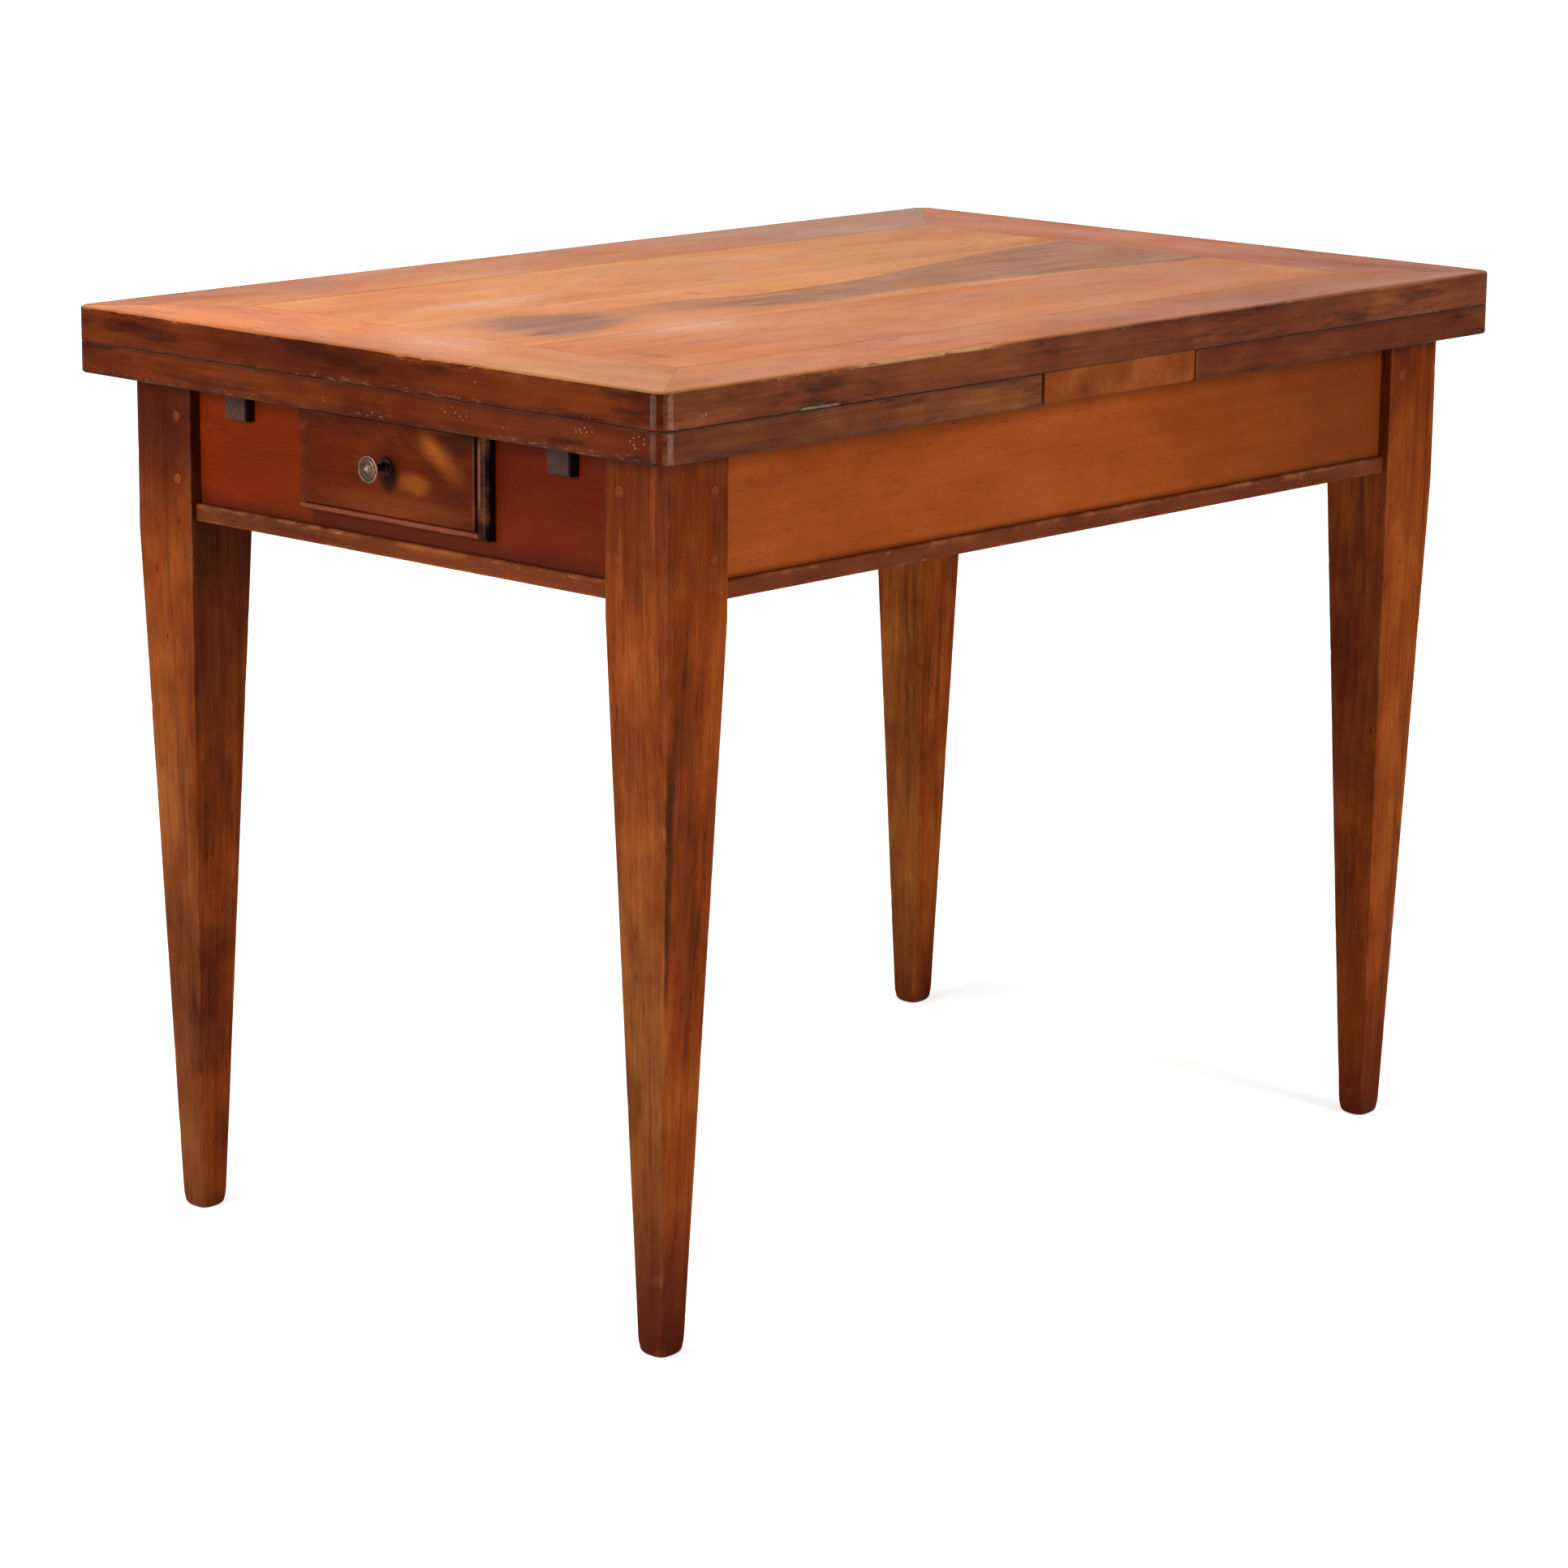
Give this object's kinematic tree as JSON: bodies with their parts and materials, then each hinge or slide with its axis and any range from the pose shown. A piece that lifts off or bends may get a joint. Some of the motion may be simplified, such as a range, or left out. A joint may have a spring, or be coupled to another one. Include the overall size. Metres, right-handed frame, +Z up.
{
  "type": "draw-leaf table",
  "caption": "Rectangular draw-leaf dining table with a loose framed top over pull-out end leaves on wooden bearers, square tapered legs and a lipped end drawer.",
  "frame": {"origin": "centre of the bounding box on the floor, with the leaves and the drawer closed", "axes": "+X along the table's length, away from the drawer end; +Y across it, towards the back; +Z up from the floor to the top"},
  "size_m": [1.034, 0.66, 0.76],
  "materials": {
    "aged_brass": "turned brass, tarnished brown, worn bright on its raised rings",
    "steel_screws": "slotted steel wood screws, dull",
    "bearer_wood": "bare hardwood, grey-brown and rubbed at its ends",
    "centre_board_wood": "lighter hardwood, worn lacquer",
    "drawer_front_wood": "walnut-brown hardwood, lacquered, flared figure",
    "panel_wood": "orange-tan hardwood boards, worn lacquer",
    "border_wood": "orange-brown hardwood border, lacquered, red-brown on its edges",
    "leaf_wood": "red-brown hardwood, lacquered",
    "inner_wood": "bare secondary wood, aged",
    "leg_wood": "orange-brown hardwood, dark grain, worn towards the foot",
    "strip_wood": "red-brown hardwood, rubbed along its upper arris",
    "side_apron_wood": "orange-brown hardwood, lacquered",
    "end_apron_wood": "red-brown hardwood, lacquered",
    "peg_wood": "end grain of wooden pegs"
  },
  "bodies": {
    "base": {"back_side_apron": "side_apron_wood", "back_strip": "strip_wood", "centre_board": "centre_board_wood", "centre_board_screws": "steel_screws", "drawer_kicker_back": "inner_wood", "drawer_kicker_front": "inner_wood", "drawer_lower_rail": "end_apron_wood", "drawer_runner_back": "inner_wood", "drawer_runner_front": "inner_wood", "drawer_upper_rail": "end_apron_wood", "front_side_apron": "side_apron_wood", "front_strip": "strip_wood", "joint_pegs": "peg_wood", "left_cross_rail": "inner_wood", "left_end_board_back": "end_apron_wood", "left_end_board_front": "end_apron_wood", "left_strip": "strip_wood", "leg_left_back": "leg_wood", "leg_left_front": "leg_wood", "leg_right_back": "leg_wood", "leg_right_front": "leg_wood", "right_cross_rail": "inner_wood", "right_end_apron": "end_apron_wood", "right_strip": "strip_wood"},
    "loose_top": {"top_back_border": "border_wood", "top_board_1": "panel_wood", "top_board_2": "panel_wood", "top_board_3": "panel_wood", "top_front_border": "border_wood", "top_left_border": "border_wood", "top_locating_pins": "inner_wood", "top_right_border": "border_wood"},
    "left_leaf": {"left_leaf_back_border": "leaf_wood", "left_leaf_bearer_back": "bearer_wood", "left_leaf_bearer_front": "bearer_wood", "left_leaf_front_border": "leaf_wood", "left_leaf_left_border": "leaf_wood", "left_leaf_panel": "leaf_wood", "left_leaf_right_border": "leaf_wood", "left_leaf_screws": "steel_screws", "left_leaf_stop_pegs": "inner_wood"},
    "right_leaf": {"right_leaf_back_border": "leaf_wood", "right_leaf_bearer_back": "bearer_wood", "right_leaf_bearer_front": "bearer_wood", "right_leaf_front_border": "leaf_wood", "right_leaf_left_border": "leaf_wood", "right_leaf_panel": "leaf_wood", "right_leaf_right_border": "leaf_wood", "right_leaf_screws": "steel_screws", "right_leaf_stop_pegs": "inner_wood"},
    "drawer": {"drawer_back": "inner_wood", "drawer_bottom": "inner_wood", "drawer_front": "drawer_front_wood", "drawer_knob": "aged_brass", "drawer_side_back": "inner_wood", "drawer_side_front": "inner_wood", "knob_nut": "aged_brass", "knob_washer": "aged_brass"}
  },
  "joints": [
    {"name": "left_leaf_draw", "type": "slide", "parent": "base", "child": "left_leaf", "axis": [-1, 0, 0], "range_m": [0, 0.4275]},
    {"name": "right_leaf_draw", "type": "slide", "parent": "base", "child": "right_leaf", "axis": [1, 0, 0], "range_m": [0, 0.4135]},
    {"name": "drawer_slide", "type": "slide", "parent": "base", "child": "drawer", "axis": [-1, 0, 0], "range_m": [0, 0.29]},
    {"name": "top_lift", "type": "slide", "parent": "base", "child": "loose_top", "axis": [0, 0, 1], "range_m": [0, 0.0285]}
  ]
}
